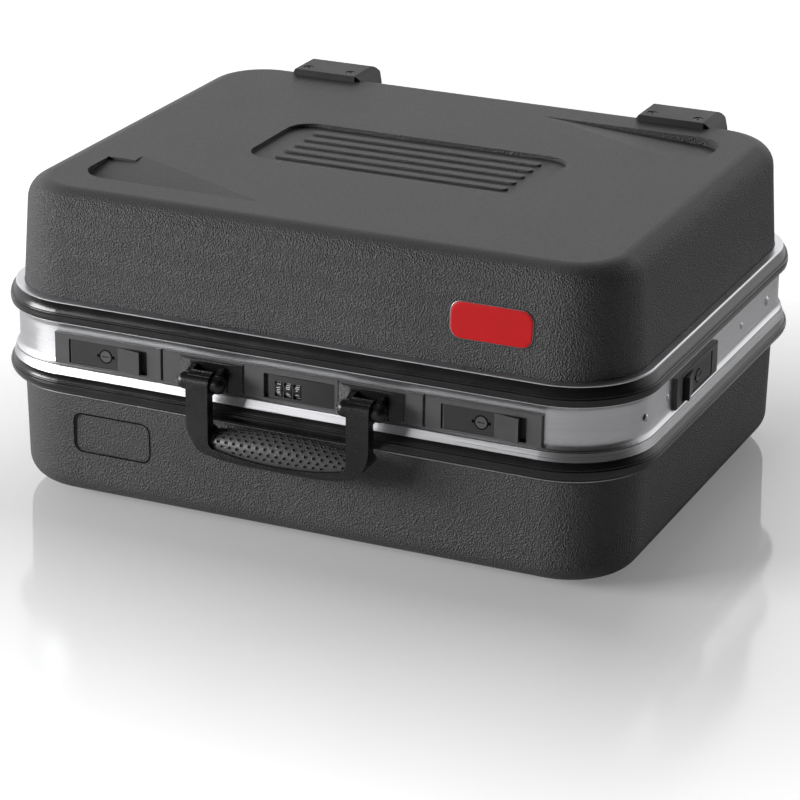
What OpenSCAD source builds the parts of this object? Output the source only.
// Hard tool case: two moulded shells in aluminium frames, hinged at the back.
// X runs along the width, the front faces -Y, Z is up and the case lies on its base.
// Profiles are drawn as [offset, height]: the offset is measured outwards from the frame
// path, a rounded rectangle, and the height from the parting plane between the halves.

/* [Case] */
// Width of the frame path
case_w = 480; // [420:5:560]
// Depth of the frame path
case_d = 380; // [340:5:440]
// Corner radius of the frame path
corner_r = 55; // [48:1:60]
// Height of the base shell, from its underside to the parting plane
base_h = 102.5; // [90:0.5:160]
// Height of the lid, from the parting plane to its top
lid_h = 126.3; // [110:0.1:180]
// Wall of the moulded shells
shell_wall = 4; // [3:0.1:5]
// Draft of the lid's walls, in degrees
lid_draft = 3.7; // [1:0.1:4]
// Draft of the base's walls, in degrees
base_draft = 1.2; // [0.5:0.1:3]
// Radius of the shells' outer edges
shell_edge_r = 17; // [12:1:22]

/* [Frames] */
// Height of the lid frame above the parting plane
lid_frame_h = 48.6; // [46:0.1:56]
// Height of the base frame below the parting plane
base_frame_h = 22.5; // [21.5:0.1:28]
// Wall of the aluminium band
band_wall = 2.5; // [2:0.1:3]
// Gap between the two frames at the parting plane
parting_gap = 0.6; // [0.4:0.1:1]
// Height of the bead on the lid frame
lid_bead_h = 13; // [10:0.5:14]
// Height of the bead on the base frame
base_bead_h = 14.5; // [11:0.5:15]

/* [Locks] */
// Length of a lock plate
lock_len = 86; // [80:1:96]
// Height of the lock and handle plates
plate_h = 23.5; // [22.5:0.5:24.5]
// Distance that the plates stand proud of the band
plate_proud = 3.3; // [2.8:0.1:4]
// Middle of a front lock, from the middle of the case
front_lock_x = 144.5; // [140:0.5:150]
// Middle of a side lock, from the middle of the case, towards the front
side_lock_y = 49; // [30:1:80]
// Length of a latch flap, from its pivot to its free end
flap_len = 56; // [54:1:60]
// Height of a latch flap
flap_h = 17.3; // [15:0.1:18]
// Height that the flap's finger end stands proud of its face
flap_rise = 4; // [3:0.5:5]
// Radius of a key cylinder
key_r = 4.2; // [3.5:0.1:4.6]

/* [Combination lock] */
// Radius of a number wheel
wheel_r = 6.2; // [5.6:0.1:6.3]
// Width of a number wheel
wheel_w = 5.6; // [4.5:0.1:6]
// Distance between number wheels
wheel_pitch = 7.2; // [6.6:0.1:7.6]
// Middle wheel, from the middle of the case
wheel_x = -2; // [-4:0.5:2]
// Length of the slide that carries the wheels
slide_len = 50.5; // [48:0.5:51]

/* [Handle] */
// Distance between the middles of the two arms
arm_gap = 123; // [116:1:128]
// Width of an arm
arm_w = 17; // [14:0.5:20]
// Thickness of an arm
arm_t = 8; // [7:0.5:9]
// Distance of the pivot from the frame path
pivot_out = 21.1; // [20:0.1:24]
// Radius of the arm's curl round the pivot
curl_r = 8.5; // [7.5:0.5:9.5]
// Drop from the pivot to the lowest point of the grip
handle_drop = 55.5; // [52:0.5:64]
// Radius of the round grip at its middle
grip_r = 12.3; // [10:0.1:13]
// Radius of the handle pins
handle_pin_r = 3; // [2:0.1:4]

/* [Hinges and feet] */
// Middle of a hinge, from the middle of the case
hinge_x = 130; // [100:5:140]
// Width of a hinge
hinge_w = 90; // [60:5:100]
// Radius of the hinge knuckles
knuckle_r = 3.2; // [2.8:0.1:3.4]
// Radius of the hinge pins
hinge_pin_r = 1.5; // [1.2:0.1:1.8]
// Height of the feet and pads
foot_t = 5; // [4:0.5:7]
// Width of a rear foot
foot_w = 52; // [40:1:60]
// Middle of a rear foot, from the middle of the case
foot_x = 145; // [120:1:155]
// Radius of a front pad
pad_r = 12; // [8:1:16]

/* [Hidden] */

round_fn = 96;
small_fn = 48;
gap = 0.3;
slip = 0.05;
mill = 0.15;
clear = 20;
big = 1000;

// How a plate and its body sit in the band: cut-outs beside the plate, window inside its edge
plate_fit = 0.1;
window_in = 3;
body_fit = 0.2;

// Faces of the two shells where they sit in their frames, as offsets
lid_out = -2;
lid_in = lid_out - shell_wall;
base_out = -0.6;
base_in = base_out - shell_wall;
part_z = foot_t + base_h;
half_w = case_w / 2;
half_d = case_d / 2;
half_gap = parting_gap / 2;

// Corner pockets, centre panel and its bars, in the lid's top
pocket_x = 197;
pocket_y = 142;
pocket_w = 148;
pocket_d = 70;
pocket_depth = 7;
pocket_r = 22;
panel_w = 224;
panel_d = 96;
panel_r = 20;
panel_depth = 3;
panel_bars = 5;
panel_bar_w = 7;
panel_bar_h = 1.5;

// Label recess on the front of the base
label_x = -146.7;
label_z = -52;
label_w = 60;
label_h = 28;
label_r = 6;
label_out = -2.2;

// Frame profile offsets
band_out = 2.7;
band_in = band_out - band_wall;
groove_out = 2.4;
leg_t = 2;
lid_leg_in = lid_in - gap - leg_t;
base_leg_in = base_in - gap - leg_t;
web_t = 2;
lip_out = 4.6;
lip_t = 1.5;
flange_t = 0.6;
flange_out = 8;
cove_h = 6;
flare_out = 5.3;
flare_h = 6;
base_flare_out = 7.2;
base_flare_h = 6.2;
base_lip_out = 4.2;
base_lip_t = base_frame_h - base_flare_h - base_bead_h;
tongue_out = band_in - 0.6;
tongue_in = tongue_out - 1.9;
tongue_h = 2;
lid_bead_z = lid_frame_h - lip_t - lid_bead_h;
lid_web_z = 25.5;
leg_h = 14;
lid_skirt_z = lid_web_z + web_t + gap;
base_top_z = half_gap + web_t + gap;

// Bead profile circles
lid_bead_r = 12.57;
lid_bead_max = 8.7;
lid_bead_c = lid_bead_z + 3.5;
base_bead_r = 8.39;
base_bead_max = 9.9;
base_bead_c = -base_flare_h - 7.2;
bead_groove_r = 1.1;

// Gasket
gasket_t = 2.3;
gasket_z = tongue_h + 0.6;
gasket_h = 2.6;

// Lock and handle plates
plate_z = 2.1;
plate_out = band_out + plate_proud;
inner_z = 3.4;
inner_h = plate_z + plate_h - 2.2 - inner_z;
inner_in = band_in + 0.2;
recess_floor = inner_in + 0.8;
flap_z = 4.3;
flap_mid = flap_z + flap_h / 2;
flap_face = plate_out - gap;
flap_t = 1.8;
pivot_u = -29;
flap_pin_r = 0.9;
barrel_r = 1.9;
flap_pivot_out = flap_face - barrel_r;
flap_end_u = pivot_u + flap_len;
flap_bend_u = flap_end_u - 19;
flap_recess_end = flap_end_u + 4.5;
key_u = -1.5;
prong_u = flap_end_u - 5.5;
prong_w = 5;
prong_h = 5;
prong_tip = -3.7;
strike_face = prong_tip - 0.8;
strike_t = 1.5;
strike_w = 16;
strike_h = 20;

// Combination lock
comb_len = 2 * 36.5;
slide_end = 33;
slide_x = slide_end - slide_len / 2;
slide_travel = 3.2;
slide_h = 17.5;
slide_z = 4;
slide_in = 2;
slide_crown_r = 300;
wheel_z = 11.6;
wheel_out = plate_out + 0.9 - wheel_r;
window_h = 11;
axle_r = 0.9;
notch_r = 0.6;
bolt_z = 18.7;
bolt_h = 2.4;
bolt_out = -3.4;
bolt_t = 2.4;
comb_strike_x = -26;
comb_strike_t = 2;
post_x = 14;
post_w = 6;

// Handle
handle_plate_in = 36.5;
handle_plate_out = 101.5;
pivot_z = 13;
ear_t = 4;
ear_r = 6.4;
ear_gap = 0.4;
ear_in = arm_w / 2 + ear_gap;
plate_gap = 1.4;
boss_edge = 1.5;
boss_half = 24.5;
boss_top = 15;
boss_rise = 4;
arm_x = arm_gap / 2;
arm_front = pivot_out + curl_r;
arm_back = arm_front - arm_t;
handle_low = pivot_z - handle_drop;
handle_half = arm_x + arm_w / 2;
handle_in = arm_x - arm_w / 2;
handle_corner_r = 30;
bow_r = 265;
grip_depth = 22;
grip_back = arm_front - grip_depth;
grip_out = arm_front - grip_r;
grip_z = handle_low + grip_r - 0.5;
grip_end_r = 9;
rim_h = 5.2;
rim_r = 240;
rim_corner_r = 6;
rim_edge_r = 5;
core_r = 3;
rib_t = 3;
inlay_gap = 0.15;
groove_angles = [50, 75, 100];
groove_r = 1;

// Hinge
hinge_out = 9.8;
hinge_leaf_t = 1.6;
hinge_segments = 5;
rear_reach = hinge_out + knuckle_r + 1.2;

// Feet
foot_len = 32;
foot_down = 34;
foot_screw_gap = 36.8;
foot_screw_in = 18;
foot_edge_r = 10;
foot_splay = 8;
foot_corner = 6;
foot_wall = 3;
// Flank of a foot, from the top plate down: widening and depth as shares of foot_splay and foot_down
foot_roll = [[1, 1.2], [1, 0.55], [0.85, 0.34], [0.55, 0.18], [0.2, 0.06], [-0.1, -0.01]];
screw_r = 2;
screw_head_r = 3.6;
boss_r = 5;
boss_drop = 4.2;
pad_x = 170;
pad_y = 140;
pad_peg_r = 3;

// Rivets on the band
rivet_z = 15;
rivet_r = 2.6;
rivet_h = 1.1;
back_rivet_z = 18;
side_rivet_y = [-144, -102, 56.5];
big_rivet_y = 115.5;

// The case is centred front to back on its whole depth, handle and rear feet included.
y_shift = (pivot_out + curl_r - rear_reach) / 2;

function cove_r(run, rise) = (run * run + rise * rise) / (2 * run);

// ---------- sweeps and placing ----------

// Sweeps a profile, drawn as [offset, height], round the frame path.
module ring() {
    cx = half_w - corner_r;
    cy = half_d - corner_r;
    for (s = [[half_w, 2 * cy, 0], [half_d, 2 * cx, 90], [half_w, 2 * cy, 180], [half_d, 2 * cx, 270]])
        rotate(s[2]) translate([s[0], s[1] / 2, 0]) rotate([90, 0, 0]) linear_extrude(s[1]) children();
    for (c = [[cx, cy, 0], [-cx, cy, 90], [-cx, -cy, 180], [cx, -cy, 270]])
        translate([c[0], c[1], 0]) rotate(c[2])
            rotate_extrude(angle = 90, $fn = round_fn) translate([corner_r, 0]) children();
}

// Fills the middle that a sweep from offset -corner_r leaves open.
module middle(z0, z1) {
    translate([corner_r - half_w, corner_r - half_d, z0])
        cube([case_w - 2 * corner_r, case_d - 2 * corner_r, z1 - z0]);
}

module to_case() {
    translate([0, y_shift, part_z]) children();
}

// Turns [offset, height] on the front face into a solid along X, centred on x.
module along_front(x, len) {
    translate([x + len / 2, -half_d, 0]) rotate([0, 0, -90]) rotate([90, 0, 0])
        linear_extrude(len) children();
}

module along_back(x, len) {
    translate([x - len / 2, half_d, 0]) rotate([0, 0, 90]) rotate([90, 0, 0])
        linear_extrude(len) children();
}

// A box on the front face: offsets o0..o1, x0..x1 and heights z0..z1.
module front_box(x0, x1, o0, o1, z0, z1) {
    translate([x0, -half_d - o1, z0]) cube([x1 - x0, o1 - o0, z1 - z0]);
}

// A cylinder on the front face that points outwards.
module front_rod(x, z, o0, o1, r) {
    translate([x, -half_d - o0, z]) rotate([90, 0, 0]) cylinder(h = o1 - o0, r = r, $fn = small_fn);
}

// A rod along Z on the front face.
module upright_rod(x, o, z0, z1, r) {
    translate([x, -half_d - o, z0]) cylinder(h = z1 - z0, r = r, $fn = small_fn);
}

// A rod along X on the front face.
module cross_rod(x0, x1, o, z, r) {
    translate([x0, -half_d - o, z]) rotate([0, 90, 0]) cylinder(h = x1 - x0, r = r, $fn = small_fn);
}

module rounded_rect(w, h, r) {
    square([w, h - 2 * r], center = true);
    square([w - 2 * r, h], center = true);
    for (sx = [-1, 1], sy = [-1, 1])
        translate([sx * (w / 2 - r), sy * (h / 2 - r)]) circle(r, $fn = small_fn);
}

// Places a lock that is drawn about x = 0. Both front locks open to the right.
module front_lock(side) {
    translate([side * front_lock_x, 0, 0]) children();
}

module side_lock(side) {
    mirror([side < 0 ? 1 : 0, 0, 0]) translate([half_w - half_d, -side_lock_y, 0])
        rotate(90) mirror([1, 0, 0]) children();
}

// ---------- shells ----------

// Half profile of a moulded shell from height z0 up to h. It is upright as far as z1, where it
// sits in its frame, and then drafted up to a round edge.
module cup_profile(o, z0, z1, h, r, draft) {
    c = [o - (h - r - z1) * tan(draft) - r / cos(draft), h - r];
    t = c + r * [cos(draft), sin(draft)];
    polygon([[-corner_r, z0], [o, z0], [o, z1], t, c, [c[0], h], [-corner_r, h]]);
    translate(c) circle(r, $fn = round_fn);
}

module cup(o, z0, z1, h, r, draft) {
    ring() cup_profile(o, z0, z1, h, r, draft);
    middle(z0, h);
}

module lid_outer() {
    cup(lid_out, lid_skirt_z, lid_frame_h, lid_h, shell_edge_r, lid_draft);
}

module base_outer() {
    cup(base_out, base_top_z, base_frame_h, base_h, shell_edge_r, base_draft);
}

// Corner pocket in the lid's top: its floor slopes from the long edge down to the corner.
module pocket(grow) {
    slope = atan(pocket_depth / (pocket_d * cos(atan(pocket_d / pocket_w))));
    turn = atan(pocket_d / pocket_w);
    intersection() {
        translate([-pocket_x - grow, -pocket_y - grow, -4 * pocket_depth])
            linear_extrude(8 * pocket_depth) {
                translate([pocket_r, 0])
                    polygon([[0, 0], [pocket_w - pocket_r + 2 * grow, 0], [0, pocket_d + grow]]);
                translate([0, pocket_r]) square([pocket_r, pocket_d - 2 * pocket_r]);
                translate([pocket_r, pocket_r]) circle(pocket_r, $fn = small_fn);
            }
        translate([-pocket_x, -pocket_y + pocket_d, 0]) rotate(-turn) rotate([slope, 0, 0])
            translate([-big / 4, -big / 4, 0]) cube([big, big / 2, big / 2]);
    }
}

// Plain centre panel in the lid's top, with raised bars across it.
module panel(grow) {
    translate([0, 0, -panel_depth]) linear_extrude(2 * panel_depth)
        rounded_rect(panel_w + 2 * grow, panel_d + 2 * grow, panel_r + grow);
}

module panel_ribs() {
    pitch = panel_d / (panel_bars + 1);
    for (i = [1 : panel_bars])
        translate([0, i * pitch - panel_d / 2, lid_h - panel_depth - 0.5])
            linear_extrude(panel_bar_h + 0.5)
                rounded_rect(panel_w - 2 * panel_r, panel_bar_w, panel_bar_w / 2 - 0.01);
}

module lid_cuts(drop, grow) {
    translate([0, 0, lid_h - drop]) {
        pocket(grow);
        rotate(180) pocket(grow);
        panel(grow);
    }
}

module lid_shell() {
    color([0.13, 0.13, 0.14]) to_case() {
        difference() {
            lid_outer();
            lid_cuts(0, 0);
            difference() {
                cup(lid_in, lid_skirt_z - 1, lid_frame_h, lid_h - shell_wall, shell_edge_r - shell_wall,
                    lid_draft);
                lid_cuts(shell_wall, shell_wall);
                foot_bosses(lid_h);
            }
            foot_holes(lid_h);
        }
        panel_ribs();
    }
}

module base_shell() {
    color([0.13, 0.13, 0.14]) to_case() mirror([0, 0, 1]) difference() {
        base_outer();
        difference() {
            cup(base_in, base_top_z - 1, base_frame_h, base_h - shell_wall, shell_edge_r - shell_wall,
                base_draft);
            foot_bosses(base_h);
        }
        translate([label_x, -half_d - label_out, -label_z]) rotate([90, 0, 0]) linear_extrude(clear)
            rounded_rect(label_w, label_h, label_r);
        foot_holes(base_h);
        pad_holes();
    }
}

// ---------- frames, beads and gasket ----------

module lid_frame_profile() {
    top = lid_frame_h;
    cr = cove_r(flange_out - band_out, cove_h);
    fr = cove_r(flare_out - band_out, flare_h);
    difference() {
        polygon([[band_in, half_gap], [flare_out, half_gap], [flare_out, half_gap + flare_h],
                 [band_out, half_gap + flare_h], [band_out, lid_bead_z - flange_t - cove_h],
                 [flange_out, lid_bead_z - flange_t - cove_h], [flange_out, lid_bead_z],
                 [groove_out, lid_bead_z], [groove_out, top - lip_t], [lip_out, top - lip_t],
                 [lip_out, top - lip_t / 2], [lip_out - 1, top], [lid_out + gap, top],
                 [lid_out + gap, lid_web_z + web_t], [lid_in - gap, lid_web_z + web_t],
                 [lid_in - gap, lid_web_z + leg_h], [lid_leg_in, lid_web_z + leg_h], [lid_leg_in, lid_web_z],
                 [band_in, lid_web_z]]);
        translate([band_out + slip + fr, half_gap + flare_h]) circle(fr, $fn = round_fn);
        translate([band_out + slip + cr, lid_bead_z - flange_t - cove_h]) circle(cr, $fn = round_fn);
    }
}

module base_frame_profile() {
    polygon([[base_leg_in, -half_gap], [tongue_in, -half_gap], [tongue_in, tongue_h],
             [tongue_out, tongue_h], [tongue_out, -half_gap], [flare_out, -half_gap],
             [base_flare_out, -base_flare_h], [groove_out, -base_flare_h],
             [groove_out, -base_flare_h - base_bead_h], [base_lip_out, -base_flare_h - base_bead_h],
             [base_lip_out, -base_frame_h + base_lip_t / 2], [base_lip_out - 0.8, -base_frame_h],
             [base_out + gap, -base_frame_h], [base_out + gap, -half_gap - web_t],
             [base_in - gap, -half_gap - web_t], [base_in - gap, -half_gap - leg_h],
             [base_leg_in, -half_gap - leg_h]]);
}

module lock_cuts() {
    for (side = [-1, 1]) {
        front_lock(side) lock_window();
        side_lock(side) lock_window();
        mirror([side < 0 ? 1 : 0, 0, 0])
            flat(handle_plate_in, handle_plate_out);
    }
    flat(-comb_len / 2, comb_len / 2);
    body_window(comb_len / 2);
}

// Flat that is milled on the band for a plate
module flat(x0, x1) {
    front_box(x0 - plate_fit, x1 + plate_fit, band_out - mill, band_out + clear,
              plate_z - plate_fit, plate_z + plate_h + plate_fit);
}

// Window through the band for the body behind a plate
module body_window(half) {
    front_box(window_in - half, half - window_in, band_in - 1, band_out + 1, inner_z, inner_z + inner_h);
}

module lock_window() {
    flat(-lock_len / 2, lock_len / 2);
    body_window(lock_len / 2);
}

module lid_frame() {
    color([0.8, 0.8, 0.82]) to_case() difference() {
        ring() lid_frame_profile();
        lock_cuts();
    }
}

module base_frame() {
    color([0.8, 0.8, 0.82]) to_case() ring() base_frame_profile();
}

module lid_bead() {
    color([0.08, 0.08, 0.09]) to_case() ring() difference() {
        intersection() {
            translate([groove_out, lid_bead_z]) square([10, lid_bead_h]);
            translate([lid_bead_max - lid_bead_r, lid_bead_c]) circle(lid_bead_r, $fn = round_fn);
        }
        translate([lid_bead_max, lid_bead_c + 2.5]) circle(bead_groove_r, $fn = small_fn);
    }
}

module base_bead() {
    color([0.08, 0.08, 0.09]) to_case() difference() {
        ring() difference() {
            intersection() {
                translate([groove_out, -base_flare_h - base_bead_h]) square([10, base_bead_h]);
                translate([base_bead_max - base_bead_r, base_bead_c]) circle(base_bead_r, $fn = round_fn);
            }
            translate([base_bead_max, base_bead_c + 2]) circle(bead_groove_r, $fn = small_fn);
        }
        for (x = [-hinge_x, hinge_x])
            translate([x - hinge_w / 2 - gap, half_d, -base_frame_h])
                cube([hinge_w + 2 * gap, clear, base_frame_h]);
    }
}

module gasket() {
    color([0.16, 0.16, 0.17]) to_case() ring()
        translate([band_in - gasket_t, gasket_z]) square([gasket_t, gasket_h]);
}

// ---------- hinges ----------

module knuckles(x, lid) {
    step = hinge_w / hinge_segments;
    for (i = [0 : hinge_segments - 1])
        if ((i % 2 == 0) != lid)
            translate([x - hinge_w / 2 + i * step + 0.15, half_d + hinge_out, 0]) rotate([0, 90, 0])
                cylinder(h = step - gap, r = knuckle_r, $fn = small_fn);
}

// Room for the other leaf's knuckles
module knuckle_room(x, lid) {
    step = hinge_w / hinge_segments;
    for (i = [0 : hinge_segments - 1])
        if ((i % 2 == 0) == lid)
            translate([x - hinge_w / 2 + i * step - 0.15, half_d + hinge_out, 0]) rotate([0, 90, 0])
                cylinder(h = step + gap, r = knuckle_r + gap, $fn = small_fn);
}

module hinge_bore(x) {
    translate([x - hinge_w, half_d + hinge_out, 0]) rotate([0, 90, 0])
        cylinder(h = 2 * hinge_w, r = hinge_pin_r + slip, $fn = small_fn);
}

module leaf(x, lid) {
    difference() {
        union() {
            difference() {
                along_back(x, hinge_w) children();
                knuckle_room(x, lid);
            }
            knuckles(x, lid);
        }
        hinge_bore(x);
    }
}

module base_leaf(x) {
    t = hinge_leaf_t;
    low = base_flare_h + base_bead_h - gap;
    color([0.55, 0.55, 0.57]) to_case() leaf(x, false)
        polygon([[hinge_out, -0.5], [hinge_out, -base_flare_h + 1], [base_flare_out + t, -base_flare_h - 1],
                 [groove_out + t, -base_flare_h - 5.5], [groove_out + t, -low], [groove_out, -low],
                 [groove_out, -base_flare_h - 4.5], [base_flare_out + 0.4, -base_flare_h - 0.3],
                 [base_flare_out + 0.4, -0.5]]);
}

module lid_leaf(x) {
    t = hinge_leaf_t;
    color([0.55, 0.55, 0.57]) to_case() leaf(x, true)
        polygon([[flare_out + 1.6, 0.5], [hinge_out - 0.4, 1.5], [hinge_out - 1.8, 4],
                 [band_out + t, 9], [band_out + t, 24], [band_out, 24], [band_out, 8.2],
                 [flare_out + 1.1, 3.2]]);
}

module hinge_pin(x) {
    color([0.7, 0.7, 0.72]) to_case()
        translate([x - hinge_w / 2 - 0.5, half_d + hinge_out, 0]) rotate([0, 90, 0])
            cylinder(h = hinge_w + 1, r = hinge_pin_r, $fn = small_fn);
}

// ---------- locks ----------

module plate(x0, x1) {
    edge = 0.4;
    front_box(x0, x1, band_out, plate_out - edge, plate_z, plate_z + plate_h);
    front_box(x0 + edge, x1 - edge, band_out, plate_out, plate_z + edge, plate_z + plate_h - edge);
}

// Body behind a plate, in the band's window
module plate_body(half) {
    inset = window_in + body_fit;
    front_box(inset - half, half - inset, inner_in, band_out,
              inner_z + body_fit, inner_z + inner_h - body_fit);
}

module lock_housing() {
    half = lock_len / 2;
    color([0.17, 0.17, 0.18]) difference() {
        union() {
            plate(gap / 2 - half, half - gap / 2);
            plate_body(half);
        }
        // Recess for the flap, with room for a finger at its free end
        front_box(pivot_u - barrel_r - 0.4, flap_recess_end, recess_floor, plate_out + 10,
                  flap_z - gap, flap_z + flap_h + gap);
        // Pivot pin
        upright_rod(pivot_u, flap_pivot_out, flap_z - 1.8, flap_z + flap_h + 1.8, flap_pin_r + slip);
        // Way in for the flap's catch
        front_box(prong_u - prong_w / 2 - 1, prong_u + prong_w / 2 + 1, -10, recess_floor + 1,
                  flap_mid - prong_h / 2 - 1, flap_mid + prong_h / 2 + 1);
    }
}

module flap() {
    back = flap_face - flap_t;
    rise = flap_face + flap_rise;
    color([0.19, 0.19, 0.2]) difference() {
        union() {
            translate([0, 0, flap_z]) linear_extrude(flap_h) mirror([0, 1])
                translate([0, half_d]) {
                    polygon([[pivot_u, back], [flap_bend_u + 1, back], [flap_end_u - 2, rise - 2.5],
                             [flap_end_u - 2, flap_face - 0.8], [flap_end_u, flap_face - 0.8],
                             [flap_end_u, rise], [flap_bend_u, flap_face], [pivot_u, flap_face]]);
                    translate([pivot_u, flap_pivot_out]) circle(barrel_r, $fn = small_fn);
                }
            front_box(prong_u - prong_w / 2, prong_u + prong_w / 2, prong_tip, flap_face + flap_rise / 3,
                      flap_mid - prong_h / 2, flap_mid + prong_h / 2);
        }
        upright_rod(pivot_u, flap_pivot_out, 0, 30, flap_pin_r + slip);
        front_rod(key_u, flap_mid, back - 1, flap_face + 1, key_r + slip);
    }
}

module flap_pin() {
    color([0.7, 0.7, 0.72])
        upright_rod(pivot_u, flap_pivot_out, flap_z - 1.7, flap_z + flap_h + 1.7, flap_pin_r);
}

module key_cylinder() {
    back = flap_face - flap_t;
    color([0.3, 0.3, 0.31]) difference() {
        union() {
            front_rod(key_u, flap_mid, back - 0.6, plate_out, key_r);
            front_rod(key_u, flap_mid, back - 0.6, back - 0.1, key_r + 0.8);
        }
        front_box(key_u - 2.6, key_u + 2.6, plate_out - 1, plate_out + 1, flap_mid - 0.5, flap_mid + 0.5);
    }
}

// The strike on the base: a foot on the frame and an upright with a window for the catch.
module strike() {
    difference() {
        union() {
            front_box(prong_u - strike_w / 2, prong_u + strike_w / 2, base_leg_in + 0.2, tongue_in - 0.5,
                      -half_gap, 0.9);
            front_box(prong_u - strike_w / 2, prong_u + strike_w / 2, strike_face - strike_t, strike_face,
                      -half_gap, strike_h);
        }
        front_box(prong_u - prong_w / 2 - 1.5, prong_u + prong_w / 2 + 1.5, strike_face - 5, strike_face + 5,
                  flap_mid - prong_h / 2 - 1, flap_mid + prong_h / 2 + 1);
    }
}

module middle_strike() {
    x1 = comb_strike_x + comb_strike_t / 2;
    difference() {
        union() {
            front_box(x1 - 9, x1, base_leg_in + 0.2, tongue_in - 0.3, -half_gap, 0.9);
            front_box(x1 - comb_strike_t, x1, base_leg_in + 0.2, tongue_in - 0.3, -half_gap,
                      bolt_z + bolt_h + 2);
        }
        // Hole for the bolt
        front_box(x1 - 5, x1 + 5, bolt_out - bolt_t - 0.5, bolt_out + 0.5,
                  bolt_z - 0.6, bolt_z + bolt_h + 0.6);
    }
}

module lock_strikes() {
    color([0.6, 0.6, 0.62]) to_case() {
        for (side = [-1, 1]) {
            front_lock(side) strike();
            side_lock(side) strike();
        }
        middle_strike();
    }
}

// ---------- combination lock ----------

module combination_housing() {
    half = comb_len / 2;
    color([0.17, 0.17, 0.18]) to_case() difference() {
        union() {
            plate(gap / 2 - half, half - gap / 2);
            plate_body(half);
        }
        front_box(slide_end - slide_len - slide_travel - 0.3, slide_end + 0.4, recess_floor, plate_out + 10,
                  slide_z - gap, slide_z + slide_h + gap);
        // Room for the wheels and their cheeks, and for the bolt's post
        front_box(wheel_x - 17, wheel_x + 14.5, -10, recess_floor + 1, wheel_z - 7, wheel_z + 6.5);
        front_box(post_x - slide_travel - 0.4, post_x + post_w + 0.4, -10, recess_floor + 1,
                  bolt_z - 0.4, bolt_z + bolt_h + 0.4);
    }
}

module combination_slide() {
    cheek = wheel_pitch + wheel_w / 2 + 0.4;
    slot_half = wheel_w / 2 + gap;
    color([0.19, 0.19, 0.2]) to_case() difference() {
        union() {
            // Crowned cover
            translate([slide_x, -half_d, slide_z]) linear_extrude(slide_h) intersection() {
                translate([-slide_len / 2, -plate_out - 1]) square([slide_len, plate_out + 1 - slide_in]);
                translate([0, slide_crown_r - plate_out - 0.6]) circle(slide_crown_r, $fn = 720);
            }
            for (s = [-1, 1])
                front_box(wheel_x + s * (cheek + 1.2) - 1.2, wheel_x + s * (cheek + 1.2) + 1.2,
                          wheel_out - 2.2, slide_in, wheel_z - 2.6, wheel_z + 2.6);
        }
        // A window and a round well for each wheel
        for (x = [-wheel_pitch, 0, wheel_pitch] + wheel_x * [1, 1, 1]) {
            front_box(x - slot_half, x + slot_half, slide_in - 1, plate_out + clear,
                      wheel_z - window_h / 2, wheel_z + window_h / 2);
            cross_rod(x - slot_half, x + slot_half, wheel_out, wheel_z, wheel_r + gap);
        }
        cross_rod(wheel_x - 2 * wheel_pitch - 10, wheel_x + 2 * wheel_pitch + 10, wheel_out, wheel_z,
                  axle_r + slip);
    }
}

module combination_bolt() {
    tip = comb_strike_x + comb_strike_t / 2 + 0.8;
    color([0.6, 0.6, 0.62]) to_case() {
        front_box(tip, post_x + post_w, bolt_out - bolt_t, bolt_out, bolt_z, bolt_z + bolt_h);
        front_box(post_x, post_x + post_w, bolt_out - 0.01, slide_in, bolt_z, bolt_z + bolt_h);
    }
}

module number_wheel(i) {
    x = wheel_x + i * wheel_pitch;
    color([0.1, 0.1, 0.11]) to_case() difference() {
        cross_rod(x - wheel_w / 2, x + wheel_w / 2, wheel_out, wheel_z, wheel_r);
        cross_rod(x - wheel_w, x + wheel_w, wheel_out, wheel_z, axle_r + slip);
        // Grip notches between the ten digits
        for (k = [0 : 9])
            translate([x - wheel_w, -half_d - wheel_out, wheel_z]) rotate([18 + 36 * k, 0, 0])
                translate([0, wheel_r + 0.25, 0]) rotate([0, 90, 0])
                    cylinder(h = 2 * wheel_w, r = notch_r, $fn = 24);
    }
}

module wheel_axle() {
    reach = wheel_pitch + wheel_w / 2 + 2.6;
    color([0.7, 0.7, 0.72]) to_case()
        cross_rod(wheel_x - reach, wheel_x + reach, wheel_out, wheel_z, axle_r);
}

// ---------- handle ----------

module ear(side) {
    // Round nose of the ear, turned about the pivot
    translate([side * ear_in, -half_d - pivot_out, pivot_z]) rotate([0, side * 90, 0])
        rotate_extrude($fn = small_fn) intersection() {
            square([ear_r, ear_t + ear_r]);
            union() {
                square([ear_r, ear_t]);
                translate([0, ear_t]) circle(ear_r, $fn = small_fn);
            }
        }
    // Web from the plate to the ear
    translate([side * (ear_in + ear_t / 2), 0, 0]) along_front(0, ear_t)
        polygon([[plate_out, plate_z + plate_h - 2], [pivot_out - 1, pivot_z + ear_r],
                 [pivot_out, pivot_z], [pivot_out - 1, pivot_z - ear_r], [plate_out, plate_z + 2]]);
}

module handle_plate(side) {
    color([0.17, 0.17, 0.18]) to_case() mirror([side < 0 ? 1 : 0, 0, 0]) {
        front_box(handle_plate_in + gap / 2, handle_plate_out - gap / 2, band_out, band_out + plate_proud / 3,
                  plate_z, plate_z + plate_h);
        plate(handle_plate_in + gap / 2, handle_plate_out - plate_gap);
    }
}

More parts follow.
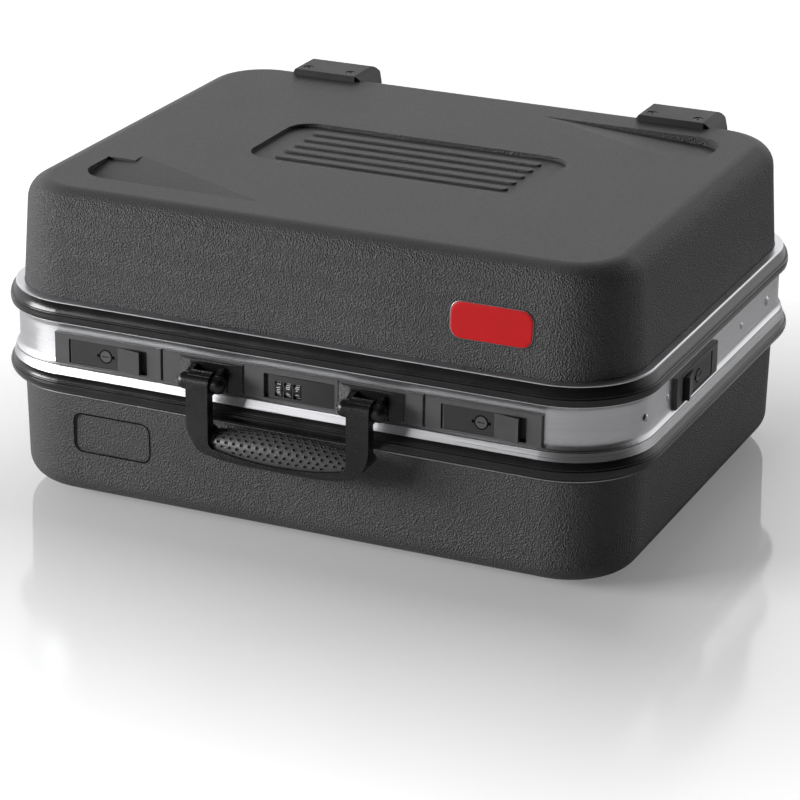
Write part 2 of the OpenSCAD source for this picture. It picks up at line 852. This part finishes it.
module handle_bracket(side) {
    color([0.1, 0.1, 0.11]) to_case() mirror([side < 0 ? 1 : 0, 0, 0]) difference() {
        union() {
            // Sloping boss under the ears
            translate([arm_x, -half_d, plate_z + boss_edge]) linear_extrude(plate_h - 2 * boss_edge)
                mirror([0, 1]) polygon([[-boss_half, plate_out], [-boss_half, plate_out + 0.8],
                                        [-boss_top, plate_out + boss_rise], [boss_top, plate_out + boss_rise],
                                        [boss_half, plate_out + 0.8], [boss_half, plate_out]]);
            translate([arm_x, 0, 0]) {
                ear(-1);
                ear(1);
            }
        }
        // Room for the arm's curl
        cross_rod(arm_x - ear_in, arm_x + ear_in, pivot_out, pivot_z, curl_r + 0.6);
        cross_rod(arm_x - ear_in - ear_t, arm_x + ear_in + ear_t, pivot_out, pivot_z, handle_pin_r + slip);
    }
}

module handle_pin(side) {
    pin_half = ear_in + ear_t - 0.2;
    color([0.5, 0.5, 0.52]) to_case() mirror([side < 0 ? 1 : 0, 0, 0])
        cross_rod(arm_x - pin_half, arm_x + pin_half, pivot_out, pivot_z, handle_pin_r);
}

// Front view of the handle's outline: rounded lower corners and a bowed lower edge
module handle_outline() {
    top = pivot_z + curl_r;
    intersection() {
        union() {
            translate([-handle_half, handle_low + handle_corner_r])
                square([2 * handle_half, top - handle_low - handle_corner_r]);
            translate([handle_corner_r - handle_half, handle_low])
                square([2 * (handle_half - handle_corner_r), handle_corner_r + 1]);
            for (s = [-1, 1])
                translate([s * (handle_half - handle_corner_r), handle_low + handle_corner_r])
                    circle(handle_corner_r, $fn = round_fn);
        }
        translate([0, handle_low + bow_r]) circle(bow_r, $fn = 360);
    }
}

// Space between the arms, down to the rim's bowed upper edge, with round lower corners
module handle_window(grow) {
    edge = handle_in + grow;
    bow_z = handle_low + rim_h + rim_r;
    corner_x = edge - rim_corner_r;
    corner_z = bow_z - sqrt(pow(rim_r + grow - rim_corner_r, 2) - pow(corner_x, 2));
    difference() {
        intersection() {
            translate([-edge, handle_low]) square([2 * edge, 3 * handle_drop]);
            translate([0, bow_z]) circle(rim_r + grow, $fn = 360);
        }
        for (s = [0, 1])
            mirror([s, 0]) difference() {
                translate([corner_x, handle_low - 1]) square([rim_corner_r + 1, corner_z - handle_low + 1]);
                translate([corner_x - slip, corner_z - slip]) circle(rim_corner_r + slip, $fn = small_fn);
            }
    }
}

module handle_prism(y0, y1) {
    translate([0, -half_d - y0, 0]) rotate([90, 0, 0]) linear_extrude(y1 - y0) children();
}

// Side view: curl, arm and the rim's rounded section
module handle_side() {
    r = rim_edge_r;
    translate([pivot_out, pivot_z]) circle(curl_r, $fn = round_fn);
    polygon([[arm_front - r, handle_low], [arm_front, handle_low + r], [arm_front, pivot_z],
             [arm_back - 2, pivot_z], [arm_back, pivot_z - 8], [arm_back - 1, grip_z + grip_r + 2],
             [grip_back, grip_z + 4], [grip_back, handle_low + r + 3], [grip_back + r + 3, handle_low]]);
    translate([arm_front - r, handle_low + r]) circle(r, $fn = round_fn);
}

// Barrel-shaped grip, thickest in the middle
module barrel() {
    sag = grip_r - grip_end_r;
    bar_r = (handle_in * handle_in + sag * sag) / (2 * sag);
    translate([0, -half_d - grip_out, grip_z]) rotate([0, 90, 0]) rotate_extrude($fn = round_fn)
        intersection() {
            translate([0, -handle_in - 1]) square([grip_r + 1, 2 * (handle_in + 1)]);
            translate([grip_r - bar_r, 0]) circle(bar_r, $fn = 360);
        }
}

module grip_core(grow) {
    cross_rod(-handle_in - 1, handle_in + 1, grip_out, grip_z, core_r + grow);
    handle_prism(grip_out - rib_t / 2 - grow, grip_out + rib_t / 2 + grow) difference() {
        translate([-handle_in - 1, handle_low]) square([2 * handle_in + 2, grip_z - handle_low]);
        difference() {
            translate([-handle_half, handle_low - 1]) square([2 * handle_half, grip_z - handle_low]);
            handle_window(2);
        }
    }
}

module handle() {
    color([0.1, 0.1, 0.11]) to_case() difference() {
        union() {
            intersection() {
                handle_prism(0, 60) difference() {
                    handle_outline();
                    handle_window(0);
                }
                along_front(0, 2 * handle_half + 10) handle_side();
            }
            grip_core(0);
        }
        cross_rod(-handle_half - 1, handle_half + 1, pivot_out, pivot_z, handle_pin_r + slip);
        // Grooves across the curl
        for (s = [-1, 1], a = groove_angles)
            translate([s * arm_x - arm_w, -half_d - pivot_out, pivot_z]) rotate([-a, 0, 0])
                translate([0, -curl_r - 0.4, 0]) rotate([0, 90, 0])
                    cylinder(h = 2 * arm_w, r = groove_r, $fn = 24);
    }
}

module grip_inlay() {
    color([0.2, 0.2, 0.21]) to_case() difference() {
        intersection() {
            barrel();
            handle_prism(grip_back, arm_front + 1) handle_window(-inlay_gap);
        }
        grip_core(inlay_gap);
    }
}

// ---------- feet, screws and rivets ----------

module foot_screw_spots() {
    for (x = [-foot_x, foot_x], s = [-1, 1])
        translate([x + s * foot_screw_gap / 2, half_d - foot_screw_in, 0]) children();
}

module foot_holes(h) {
    foot_screw_spots() translate([0, 0, h - 10]) cylinder(h = 20, r = screw_r + slip, $fn = small_fn);
}

// Flat seats for the nuts inside the shell's rounded edge
module foot_bosses(h) {
    foot_screw_spots() translate([0, 0, h - shell_wall - boss_drop])
        cylinder(h = boss_drop + 0.5, r = boss_r, $fn = small_fn);
}

module pad_holes() {
    for (x = [-pad_x, pad_x])
        translate([x, -pad_y, base_h - 10]) cylinder(h = clear, r = pad_peg_r, $fn = small_fn);
}

// Side view of a foot, solid as far as the shell's inside
module foot_side(h) {
    back = rear_reach;
    translate([back - foot_len - foot_edge_r, h - foot_down]) square([foot_len, foot_down + foot_t]);
    translate([back - foot_edge_r - 1, h - foot_down])
        square([foot_edge_r + 1, foot_down + foot_t - foot_edge_r]);
    translate([back - foot_edge_r, h + foot_t - foot_edge_r]) circle(foot_edge_r, $fn = small_fn);
}

// Points of a foot's left (-1) or right (1) flank, seen from behind
function flank(side, roll, top) =
    [for (k = roll) [side * (foot_w / 2 + k[0] * foot_splay), top - k[1] * foot_down]];

// One foot about x = 0: rolled flanks that widen towards the back, hollow below with a middle rib
module foot(h) {
    half = foot_w / 2;
    wide = half + foot_splay;
    top = h + foot_t;
    front = rear_reach - foot_len - foot_edge_r;
    last = len(foot_roll) - 1;
    difference() {
        intersection() {
            along_back(0, 2 * wide) foot_side(h);
            translate([0, half_d - 50, 0]) rotate([90, 0, 180]) linear_extrude(100)
                polygon(concat(flank(-1, foot_roll, top),
                               flank(1, [for (k = [last : -1 : 0]) foot_roll[k]], top)));
            translate([0, half_d, h - foot_down - 1]) linear_extrude(foot_down + foot_t + 2)
                polygon([[-half, front - 1], [half, front - 1], [half, front + 1],
                         [wide, front + foot_splay + 1], [wide, rear_reach - foot_corner],
                         [wide - foot_corner, rear_reach + 1], [foot_corner - wide, rear_reach + 1],
                         [-wide, rear_reach - foot_corner], [-wide, front + foot_splay + 1],
                         [-half, front + 1]]);
        }
        for (s = [-1, 1])
            translate([s > 0 ? foot_wall / 2 : foot_wall * 1.5 - half, half_d - 6, h - foot_down - 1])
                cube([half - foot_wall * 2, 6 + rear_reach - foot_edge_r, foot_down + 1.5]);
    }
}

// Two rear feet, drawn with the shell's outside upwards
module feet(h) {
    difference() {
        for (x = [-foot_x, foot_x])
            translate([x, 0, 0]) foot(h);
        children();
        foot_screw_spots() {
            translate([0, 0, h - 10]) cylinder(h = 30, r = screw_r + slip, $fn = small_fn);
            translate([0, 0, h + foot_t - 2.5]) cylinder(h = 10, r = screw_head_r + gap, $fn = small_fn);
        }
    }
}

module foot_screws(h) {
    nut_z = h - shell_wall - boss_drop;
    foot_screw_spots() difference() {
        union() {
            translate([0, 0, nut_z - 1])
                cylinder(h = h + foot_t - 1 - nut_z, r = screw_r, $fn = small_fn);
            translate([0, 0, h + foot_t - 2.5]) cylinder(h = 2, r = screw_head_r, $fn = small_fn);
            translate([0, 0, nut_z - 2.5]) cylinder(h = 2.5, r = screw_head_r, $fn = 6);
        }
        translate([0, 0, h + foot_t - 1.7]) cylinder(h = 5, r = 1.5, $fn = 6);
    }
}

module lid_feet() {
    color([0.1, 0.1, 0.11]) to_case() feet(lid_h) lid_outer();
}

module base_feet() {
    color([0.1, 0.1, 0.11]) to_case() mirror([0, 0, 1]) feet(base_h) base_outer();
}

module front_pads() {
    color([0.1, 0.1, 0.11]) to_case() mirror([0, 0, 1])
        for (x = [-pad_x, pad_x])
            translate([x, -pad_y, base_h]) {
                cylinder(h = foot_t, r = pad_r, $fn = small_fn);
                translate([0, 0, -shell_wall])
                    cylinder(h = shell_wall + 0.5, r = pad_peg_r - slip, $fn = small_fn);
            }
}

module lid_foot_screws() {
    color([0.2, 0.2, 0.21]) to_case() foot_screws(lid_h);
}

module base_foot_screws() {
    color([0.2, 0.2, 0.21]) to_case() mirror([0, 0, 1]) foot_screws(base_h);
}

module rivet(r, h) {
    rotate_extrude($fn = small_fn) intersection() {
        square([r, h]);
        translate([0, h - (r * r + h * h) / (2 * h)]) circle((r * r + h * h) / (2 * h), $fn = small_fn);
    }
}

module band_rivets() {
    color([0.75, 0.75, 0.77]) to_case() {
        for (side = [-1, 1], y = side_rivet_y)
            translate([side * (half_w + band_out), y, rivet_z]) rotate([0, side * 90, 0])
                rivet(rivet_r, rivet_h);
        for (side = [-1, 1])
            translate([side * (half_w + band_out), big_rivet_y, rivet_z]) rotate([0, side * 90, 0])
                rivet(rivet_r + 1.4, rivet_h + 0.4);
        for (x = [-hinge_x, hinge_x], k = [-1, 0, 1])
            translate([x + k * hinge_w / 3, half_d + band_out + hinge_leaf_t, back_rivet_z])
                rotate([-90, 0, 0]) rivet(rivet_r, rivet_h);
    }
}

base_shell();
base_frame();
base_bead();
lid_shell();
lid_frame();
lid_bead();
gasket();
base_leaf(-hinge_x);  // left_hinge_base_leaf
lid_leaf(-hinge_x);  // left_hinge_lid_leaf
hinge_pin(-hinge_x);  // left_hinge_pin
base_leaf(hinge_x);  // right_hinge_base_leaf
lid_leaf(hinge_x);  // right_hinge_lid_leaf
hinge_pin(hinge_x);  // right_hinge_pin
to_case() front_lock(-1) lock_housing();  // front_left_lock_housing
to_case() front_lock(-1) flap();  // front_left_flap
to_case() front_lock(-1) flap_pin();  // front_left_flap_pin
to_case() front_lock(-1) key_cylinder();  // front_left_key_cylinder
to_case() front_lock(1) lock_housing();  // front_right_lock_housing
to_case() front_lock(1) flap();  // front_right_flap
to_case() front_lock(1) flap_pin();  // front_right_flap_pin
to_case() front_lock(1) key_cylinder();  // front_right_key_cylinder
to_case() side_lock(-1) lock_housing();  // side_left_lock_housing
to_case() side_lock(-1) flap();  // side_left_flap
to_case() side_lock(-1) flap_pin();  // side_left_flap_pin
to_case() side_lock(-1) key_cylinder();  // side_left_key_cylinder
to_case() side_lock(1) lock_housing();  // side_right_lock_housing
to_case() side_lock(1) flap();  // side_right_flap
to_case() side_lock(1) flap_pin();  // side_right_flap_pin
to_case() side_lock(1) key_cylinder();  // side_right_key_cylinder
lock_strikes();
combination_housing();
combination_slide();
combination_bolt();
number_wheel(-1);  // number_wheel_left
number_wheel(0);  // number_wheel_middle
number_wheel(1);  // number_wheel_right
wheel_axle();
handle_plate(-1);  // left_handle_plate
handle_plate(1);  // right_handle_plate
handle_bracket(-1);  // left_handle_bracket
handle_bracket(1);  // right_handle_bracket
handle_pin(-1);  // left_handle_pin
handle_pin(1);  // right_handle_pin
handle();
grip_inlay();
lid_feet();
base_feet();
front_pads();
lid_foot_screws();
base_foot_screws();
band_rivets();
